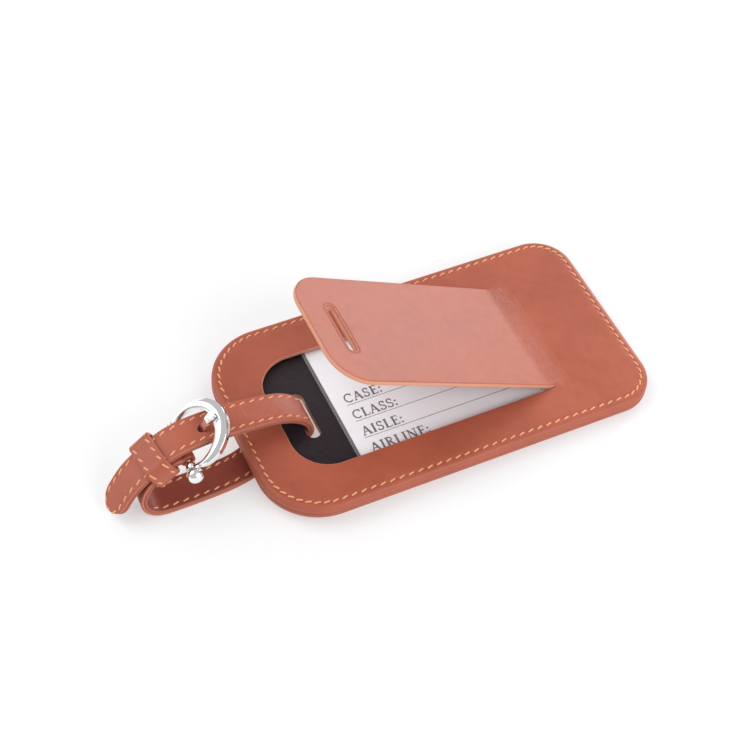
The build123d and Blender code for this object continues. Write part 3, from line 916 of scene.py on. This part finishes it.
def strap_seam(start, end, side, turns):
    """Middles and directions of the stitches on one face of the strap: two straight rows from start to end, which
    join round the tip in a half ellipse if the seam turns there."""
    path = rounded_path(STRAP_ROUTE, 0.33)
    along, across, outwards, lengths = frames_along(path)
    straight = np.linspace(start, end, 200)
    legs = [np.column_stack([straight, np.full(200, -STRAP_STITCH_ROW)]),
            np.column_stack([straight[::-1], np.full(200, STRAP_STITCH_ROW)])]
    if turns:
        angle = np.linspace(-math.pi / 2, math.pi / 2, 60)
        bend = np.column_stack([end + 3.3 * np.cos(angle), STRAP_STITCH_ROW * np.sin(angle)])
        legs = [np.concatenate([legs[0], bend[1:-1], legs[1]])]
    middles, forwards, ups = [], [], []
    for leg in legs:
        steps = lengths_along(leg)
        wanted = np.arange(STRAP_STITCH_PITCH / 2, steps[-1], STRAP_STITCH_PITCH)
        spots = sampled(wanted, steps, leg)
        ways = unit(sampled(wanted, steps, np.gradient(leg, axis=0)))
        at = [sampled(spots[:, 0], lengths, rows) for rows in (path, along, across, outwards)]
        up = unit(at[3]) * side
        middles.append(at[0] + unit(at[2]) * spots[:, 1:] + up * (STRAP_HALF - 0.02))
        forwards.append(unit(at[1] * ways[:, :1] + at[2] * ways[:, 1:]))
        ups.append(up)
    return np.concatenate(middles), np.concatenate(forwards), np.concatenate(ups)


class StrapStitches(bpy.types.Operator):
    """Stitches along both edges of the strap, on its outer and inner faces"""

    bl_idname = "tag.strap_stitches"
    bl_label = "Strap stitches"

    def execute(self, context):
        width = sizes().thread_width / MM
        for name, start, end, side, node in (
            ("strap_stitches_outer", 71.6, 135.9, 1, "strap_thread_top"),
            ("strap_stitches_inner", 20.0, 52.0, -1, "strap_thread_under"),
        ):
            seam = strap_seam(start, end, side, turns=side > 0)
            points, faces, caps, notes = stitch_points(*seam, STRAP_STITCH, width, THREAD_HEIGHT)
            mesh = make_mesh(name, from_table(points), faces, caps, notes)
            place(name, mesh, "strap", finish("thread"), [node])
        return {"FINISHED"}


# --- the keeper ---
KEEPER_HALF = (5.6, 2.7)  # inside half width and half height
KEEPER_LEATHER = 1.2


def keeper_frame():
    """Origin, along, across and outwards of the keeper, from its box and the direction it slides in."""
    low, high = (np.array(corner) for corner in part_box("keeper_band"))
    along = unit(np.array(JOINTS["keeper_slide"]["axis"]))
    across = unit(V_AXIS - along * along[1])
    return (low + high) / 2 + along * 0.1 * MM, along, across, np.cross(across, along)


def keeper_loop(gap, count=160):
    """A loop round the strap at a distance from the keeper's inner face, with outward normals."""
    half_width, half_height = (half + gap for half in KEEPER_HALF)
    radius = 1.5 + gap
    return rounded_outline(-half_width, half_width, 2 * half_height, radius, radius, count)[:2]


class Keeper(bpy.types.Operator):
    """Keeper: a leather band round the strap and its two rows of stitches"""

    bl_idname = "tag.keeper"
    bl_label = "Keeper"

    def execute(self, context):
        origin, along, across, outwards = keeper_frame()
        middle, normal = keeper_loop(KEEPER_LEATHER / 2)
        box = rounded_box_loop(3.3, KEEPER_LEATHER / 2, 0.5, 7)
        flat = middle[:, None] + normal[:, None] * box[None, :, 1:2]
        points = (origin + (flat[..., :1] * across + flat[..., 1:] * outwards + box[None, :, :1] * along) * MM)
        run = np.arange(len(middle))[:, None] * 0.22
        note = np.stack(np.broadcast_arrays(box[None, :, 0], run, box[None, :, 1]), axis=-1).reshape(-1, 3)
        cut = np.broadcast_to(np.where(np.abs(box[:, 0]) > 3.2, 0.3, 0.0), points.shape[:2]).ravel()
        mesh = make_mesh("keeper_leather", points.reshape(-1, 3),
                         grid_faces(len(middle), len(box), close_rows=True),
                         notes={"hide": note, "cut": cut, "bend": np.full(len(cut), 0.15)})
        place("keeper_leather", mesh, "keeper", finish("leather"), ["keeper_band"])
        self.stitches(origin, along, across, outwards)
        return {"FINISHED"}

    def stitches(self, origin, along, across, outwards):
        path, normal = keeper_loop(KEEPER_LEATHER - 0.03, 240)
        steps = np.linalg.norm(np.roll(path, -1, axis=0) - path, axis=1)
        count = round(steps.sum() / 3.1)
        picks = (np.arange(count) * len(path) / count).astype(int)
        middles, ups, alongs = [], [], []
        tangent = unit(np.roll(path, -1, axis=0) - np.roll(path, 1, axis=0))
        for row in (-2.2, 2.2):
            middles.append(path[picks, :1] * across + path[picks, 1:] * outwards + along * row)
            ups.append(normal[picks, :1] * across + normal[picks, 1:] * outwards)
            alongs.append(tangent[picks, :1] * across + tangent[picks, 1:] * outwards)
        points, faces, caps, notes = stitch_points(
            np.concatenate(middles), np.concatenate(alongs), np.concatenate(ups), KEEPER_STITCH, 0.55, 0.34)
        mesh = make_mesh("keeper_stitches", origin + points * MM, faces, caps, notes)
        place("keeper_stitches", mesh, "keeper", finish("thread"), ["keeper_thread"])


# --- the buckle ---
def lathe(profile, count=48):
    """Turns (distance from the axis, place along it) pairs about the bar's axis, in the buckle's frame."""
    turn = np.arange(count) * 2 * math.pi / count
    profile = np.asarray(profile, dtype=float)
    return np.stack(np.broadcast_arrays(
        profile[:, :1] * np.cos(turn), profile[:, 1:] + 0 * turn, profile[:, :1] * np.sin(turn)), axis=-1)


class BuckleRing(bpy.types.Operator):
    """Crescent ring with a flat face, a wide outer bevel and an eye on each horn"""

    bl_idname = "tag.buckle_ring"
    bl_label = "Buckle ring"

    def execute(self, context):
        turn = np.linspace(-1, 1, 181) * math.radians(131)
        shift = RING_CENTRE - RING_HOLE_CENTRE
        inside = -shift * np.cos(turn) + np.sqrt(RING_HOLE_RADIUS**2 - (shift * np.sin(turn)) ** 2)
        band = RING_RADIUS - inside
        thick = 1.2 - 0.25 * smooth_step((np.abs(turn) - 1.2) / 1.0)
        bevel = 0.40 * band
        section = []
        for across, fixed, up in (
            (0, 0.10, -1.0), (0, 0.03, -0.96), (0, 0.0, -0.88), (0, 0.0, 0.86), (0, 0.02, 0.95), (0, 0.08, 1.0),
            (1, -0.05, 1.0), (1, 0.0, 0.995), (1, 0.06, 0.965), (2, -0.08, 0.34), (2, 0.0, 0.26), (2, 0.0, 0.18),
            (2, 0.0, -0.88), (2, -0.03, -0.96), (2, -0.10, -1.0),
        ):
            reach = {0: inside, 1: RING_RADIUS - bevel, 2: np.full(len(turn), RING_RADIUS)}[across] + fixed
            section.append(np.column_stack([RING_CENTRE + reach * np.cos(turn), reach * np.sin(turn), thick * up]))
        sections = np.array(section).transpose(1, 0, 2)
        points, faces, caps = closed_pipe(sections)
        eyes = []
        for side in (-1, 1):
            eyes.append(lathe([(0.86, 5.7), (0.95, 5.6), (1.3, 5.6), (1.48, 5.75), (1.5, 5.95), (1.5, 7.3),
                               (1.42, 7.5), (1.2, 7.58), (0.95, 7.58), (0.86, 7.5)]) * [1, side, 1])
        eye_faces = grid_faces(*eyes[0].shape[:2], close_rows=True)
        points, faces = joined([(points, faces), *[(eye.reshape(-1, 3), eye_faces) for eye in eyes]])
        mesh = make_mesh("ring", from_table(from_buckle(points)), faces, caps)
        place("buckle_ring", mesh, "buckle", finish("chrome"), ["buckle_frame"])
        return {"FINISHED"}


class BuckleBar(bpy.types.Operator):
    """The bar, the round head on its near end and the flat head on its far end"""

    bl_idname = "tag.buckle_bar"
    bl_label = "Buckle bar and heads"

    def execute(self, context):
        turned = {
            "bar": ([(0.7, -7.6), (0.8, -7.5), (0.8, 7.5), (0.7, 7.6)], "buckle_bar"),
            "cap": ([(0.9, 7.62), (1.15, 7.62), (1.3, 7.8), (1.28, 8.05), (1.0, 8.3), (0.5, 8.42), (0.1, 8.44)],
                    "buckle_bar_cap"),
        }
        angle = np.linspace(0.02, math.pi - 0.5, 26)
        ball = np.column_stack([2.3 * np.sin(angle) ** 0.86, -9.55 - 1.9 * np.cos(angle)])
        turned["knob"] = (np.vstack([ball, [(1.15, -7.95), (1.05, -7.66), (0.9, -7.62)]]), "buckle_bar_knob")
        for name, (profile, node) in turned.items():
            points, faces, caps = closed_pipe(lathe(profile))
            mesh = make_mesh("buckle_" + name, from_table(from_buckle(points)), faces, caps)
            place("buckle_bar_" + name, mesh, "buckle", finish("chrome"), [node])
        return {"FINISHED"}


class BuckleProng(bpy.types.Operator):
    """Prong: a flat cranked shank with softened edges and an eye round the bar"""

    bl_idname = "tag.buckle_prong"
    bl_label = "Buckle prong"

    def execute(self, context):
        route = np.array([(0.9, 0, -1.0, 0), (5.1, 0, -1.6, 0.4), (11.5, 0, 1.95, 0.45), (13.95, 0, 2.02, 0)])
        path = rounded_path(route, 0.15, 3)
        along = unit(np.gradient(path, axis=0))
        up = np.cross(along, [0.0, 1.0, 0.0])
        to_end = np.linalg.norm(path - path[-1], axis=1)
        taper = 1 - 0.35 * smooth_step((0.35 - to_end) / 0.35)
        loop = rounded_box_loop(1.05, 0.62, 0.2, 5)
        shank = (path[:, None] + np.array([0.0, 1.0, 0.0]) * (loop[None, :, :1] * taper[:, None, None])
                 + up[:, None] * loop[None, :, 1:] * taper[:, None, None])
        points, faces, caps = closed_pipe(shank)
        eye = lathe([(0.86, -1.0), (0.95, -1.05), (1.5, -1.05), (1.65, -0.95), (1.7, -0.8), (1.7, 0.8),
                     (1.65, 0.95), (1.5, 1.05), (0.95, 1.05), (0.86, 1.0)])
        eye_shape = (eye.reshape(-1, 3), grid_faces(*eye.shape[:2], close_rows=True))
        points, faces = joined([(points, faces), eye_shape])
        mesh = make_mesh("prong", from_table(from_buckle(points)), faces, caps)
        place("prong", mesh, "prong", finish("chrome"), ["buckle_prong"])
        return {"FINISHED"}


# --- the card's print ---
CARD_ROWS = (("CASE:", -1.0), ("CLASS:", -6.8), ("AISLE:", -12.7), ("AIRLINE:", -18.5))
TEXT_START_U = -25.3
CAPITAL_HEIGHT = 2.9
CAPITAL_STRETCH = 1.14  # capitals are set a little wide
THICK, THIN = 0.20, 0.10
STEM = (((0.2, 0), (0.2, 1)), THICK)
FOOT = (((0.05, 0.02), (0.35, 0.02)), THIN)
HEAD = (((0.05, 0.98), (0.35, 0.98)), THIN)


def arc(middle, reach, start, end):
    """Points of part of an ellipse, from one angle to another in degrees."""
    angle = np.radians(np.linspace(start, end, 17))
    return tuple(zip(middle[0] + reach[0] * np.cos(angle), middle[1] + reach[1] * np.sin(angle)))


# Each letter's width and its pen strokes, in capital heights: the points a stroke goes through and its thickness.
LETTERS = {
    "I": (0.42, (STEM, FOOT, HEAD)),
    "L": (0.66, (STEM, HEAD, (((0.05, 0.02), (0.6, 0.02), (0.62, 0.2)), THIN))),
    "E": (0.70, (STEM, (((0.05, 0.98), (0.58, 0.98), (0.58, 0.8)), THIN), (((0.2, 0.52), (0.48, 0.52)), THIN),
                 (((0.48, 0.62), (0.48, 0.42)), THIN), (((0.05, 0.02), (0.6, 0.02), (0.63, 0.2)), THIN))),
    "N": (0.90, ((((0.16, 0), (0.16, 1)), THIN), (((0.14, 1), (0.72, 0)), THICK), (((0.72, 0), (0.72, 1)), THIN),
                 (((0.02, 0.98), (0.22, 0.98)), THIN), (((0.03, 0.02), (0.3, 0.02)), THIN),
                 (((0.58, 0.98), (0.86, 0.98)), THIN))),
    "A": (0.86, ((((0.1, 0), (0.41, 1)), THIN), (((0.4, 1), (0.71, 0)), THICK), (((0.2, 0.36), (0.58, 0.36)), THIN),
                 (((0, 0.02), (0.24, 0.02)), THIN), (((0.56, 0.02), (0.85, 0.02)), THIN))),
    "R": (0.80, (STEM, FOOT, HEAD, (arc((0.33, 0.75), (0.24, 0.22), -95, 90), 0.13),
                 (((0.36, 0.52), (0.7, 0.02)), THICK), (((0.64, 0.02), (0.82, 0.02)), THIN))),
    "C": (0.80, ((arc((0.44, 0.5), (0.35, 0.47), 48, 312), 0.14), (((0.69, 0.98), (0.7, 0.68)), THIN))),
    "S": (0.62, (((*arc((0.3, 0.74), (0.18, 0.23), 25, 235), *arc((0.3, 0.26), (0.21, 0.24), 62, -155)), 0.13),
                 (((0.49, 0.98), (0.49, 0.72)), THIN), (((0.08, 0.28), (0.08, 0.02)), THIN))),
    ":": (0.34, ((((0.15, 0), (0.15, 0.18)), 0.18), (((0.15, 0.48), (0.15, 0.66)), 0.18))),
}


def pen_strokes(strokes):
    """Flat ribbons of ink: each stroke's points pushed half its thickness to either side. Points are on the card
    in millimetres; a stroke is its points and its thickness."""
    points, faces, caps, used = [], [], [], 0
    for line, thickness in strokes:
        line = np.asarray(line, dtype=float)
        along = unit(np.gradient(line, axis=0))
        aside = np.column_stack([-along[:, 1], along[:, 0]]) * thickness / 2
        corners = [np.column_stack([line + aside * side, np.full(len(line), CARD_TOP + height)])
                   for side, height in ((-1, 0.004), (1, 0.004), (1, 0.016), (-1, 0.016))]
        flat, quads, ends = closed_pipe(np.stack(corners, axis=1))
        if signed_volume(flat - flat.mean(axis=0), quads) < 0:
            quads = quads[:, ::-1]
            ends = [end[::-1] for end in ends]
        points.append(flat)
        faces.append(quads + used)
        caps += [end + used for end in ends]
        used += len(flat)
    return np.concatenate(points), np.concatenate(faces), caps


class CardPrint(bpy.types.Operator):
    """Plain field labels and ruled lines printed on the address card"""

    bl_idname = "tag.card_print"
    bl_label = "Card print"

    def execute(self, context):
        strokes = []
        scale = [CAPITAL_STRETCH * CAPITAL_HEIGHT, CAPITAL_HEIGHT]
        for label, baseline in CARD_ROWS:
            u = TEXT_START_U
            for letter in label:
                width, lines = LETTERS[letter]
                for line, thickness in lines:
                    placed = np.array([u, baseline]) + np.array(line) * scale
                    strokes.append((placed, thickness * CAPITAL_HEIGHT))
                u += (width + 0.03) * CAPITAL_STRETCH * CAPITAL_HEIGHT
            strokes.append((np.array([(TEXT_START_U, baseline - 0.75), (46.0, baseline - 0.75)]), 0.16))
        points, faces, caps = pen_strokes(strokes)
        place("card_print", make_mesh("card_print", from_case(points), faces, caps), "card", finish("ink"))
        return {"FINISHED"}


class KeptParts(bpy.types.Operator):
    """Finishes for the parts whose shape is already right: lining, board, film, card and staple"""

    bl_idname = "tag.kept_parts"
    bl_label = "Lining, film and card"

    def execute(self, context):
        for node, name in (("lining_panel", "lining"), ("core_board", "board"), ("window_film", "film"),
                           ("id_card", "card"), ("keeper_staple", "chrome")):
            piece = frame["nodes"][node]
            for slot in piece.material_slots:
                slot.material = finish(name)
        return {"FINISHED"}


# --- the stage ---
VIEW_TARGET = (-12.59, 7.0, 0.0)  # in the case's frame, mm
VIEW_DISTANCE = 475.3
VIEW_AZIMUTH = math.radians(-29.3)
VIEW_ELEVATION = math.radians(52.01)
VIEW_ROLL = math.radians(5.28)


def set_pose(thing, side, up, back, spot):
    matrix = np.eye(4)
    matrix[:3, :3] = np.column_stack([side, up, back])
    matrix[:3, 3] = spot
    thing.matrix_world = Matrix(matrix)


def case_direction(vector):
    """A direction from the case's frame to the row frame."""
    return vector[0] * U_AXIS + vector[1] * V_AXIS + vector[2] * W_AXIS


class Stage(bpy.types.Operator):
    """Camera, pale floor and soft studio lights"""

    bl_idname = "tag.stage"
    bl_label = "Stage"

    def execute(self, context):
        self.camera(context)
        self.floor()
        self.lights(context)
        context.scene.view_settings.view_transform = "Standard"
        return {"FINISHED"}

    def camera(self, context):
        back = np.array([
            math.sin(VIEW_AZIMUTH) * math.cos(VIEW_ELEVATION), -math.cos(VIEW_AZIMUTH) * math.cos(VIEW_ELEVATION),
            math.sin(VIEW_ELEVATION)])
        right = np.array([math.cos(VIEW_AZIMUTH), math.sin(VIEW_AZIMUTH), 0.0])
        up = np.cross(back, right)
        level = right * math.cos(VIEW_ROLL) + up * math.sin(VIEW_ROLL)
        upright = up * math.cos(VIEW_ROLL) - right * math.sin(VIEW_ROLL)
        spot = from_case(np.array(VIEW_TARGET) + back * VIEW_DISTANCE)
        data = bpy.data.cameras.new("camera")
        data.lens = sizes().camera_lens
        data.sensor_width = 36.0
        data.clip_start = 0.01
        camera = add_object("camera", data)
        set_pose(camera, *(case_direction(axis) for axis in (level, upright, back)), spot)
        context.scene.camera = camera

    def floor(self):
        f = Finish("floor")
        haze = f.noise(f.place(), 0.01, 2.0)
        material = f.surface(
            Base_Color=f.mix(haze, (0.52, 0.53, 0.54, 1.0), (0.54, 0.55, 0.56, 1.0)), Roughness=0.9,
            Specular_IOR_Level=0.1, Emission_Color=(1.0, 1.0, 1.0, 1.0), Emission_Strength=0.42)
        across = np.linspace(-4.0, 4.0, 9)
        grid = np.stack(np.meshgrid(across, across), axis=-1).reshape(-1, 2)
        points = np.column_stack([grid, np.full(len(grid), -0.00002)])
        mesh = bpy.data.meshes.new("floor")
        mesh.from_pydata(points.tolist(), [], grid_faces(9, 9, close_columns=False).tolist())
        mesh.materials.append(material)
        add_object("floor", mesh)

    def lights(self, context):
        for name, place_m, size, power in (
            ("key", (-0.45, 0.35, 0.80), 0.7, 2.6),
            ("flap sheen", (0.74, 0.49, 0.24), 0.45, 3.6),
            ("ring glow", (-0.62, 0.48, 0.42), 0.8, 2.2),
            ("front fill", (0.20, -0.45, 0.28), 0.5, 1.9),
        ):
            data = bpy.data.lights.new(name, "AREA")
            data.shape = "DISK"
            data.size = size
            data.energy = power
            back = unit(np.array(place_m))
            side = unit(np.cross([0, 0, 1.0], back))
            set_pose(add_object(name, data), side, np.cross(back, side), back, place_m)
        world = bpy.data.worlds.new("studio")
        world.use_nodes = True
        world.node_tree.nodes["Background"].inputs[0].default_value = (1.0, 1.0, 1.0, 1.0)
        world.node_tree.nodes["Background"].inputs[1].default_value = 0.55
        context.scene.world = world


OPERATORS = (Stage, FrontPanel, BackPanel, PrivacyFlap, BorderStitches, Strap, StrapStitches, Keeper, BuckleRing,
             BuckleBar, BuckleProng, CardPrint, KeptParts)


class TagPanel(bpy.types.Panel):
    """The tag's pieces, one button each"""

    bl_idname = "VIEW3D_PT_tag"
    bl_label = "Luggage tag"
    bl_space_type = "VIEW_3D"
    bl_region_type = "UI"
    bl_category = "Tag"

    def draw(self, context):
        for group in (context.scene.tag_sizes, context.scene.tag_colours):
            for name in group.__annotations__:
                self.layout.prop(group, name)
        for operator in OPERATORS:
            self.layout.operator(operator.bl_idname)


CLASSES = (TagSizes, TagColours, *OPERATORS, TagPanel)


def register():
    for cls in CLASSES:
        bpy.utils.register_class(cls)
    bpy.types.Scene.tag_sizes = bpy.props.PointerProperty(type=TagSizes)
    bpy.types.Scene.tag_colours = bpy.props.PointerProperty(type=TagColours)


def unregister():
    del bpy.types.Scene.tag_colours
    del bpy.types.Scene.tag_sizes
    for cls in reversed(CLASSES):
        bpy.utils.unregister_class(cls)


def main():
    register()
    for operator in OPERATORS:
        group, name = operator.bl_idname.split(".")
        getattr(getattr(bpy.ops, group), name)()


if __name__ == "__main__":
    main()
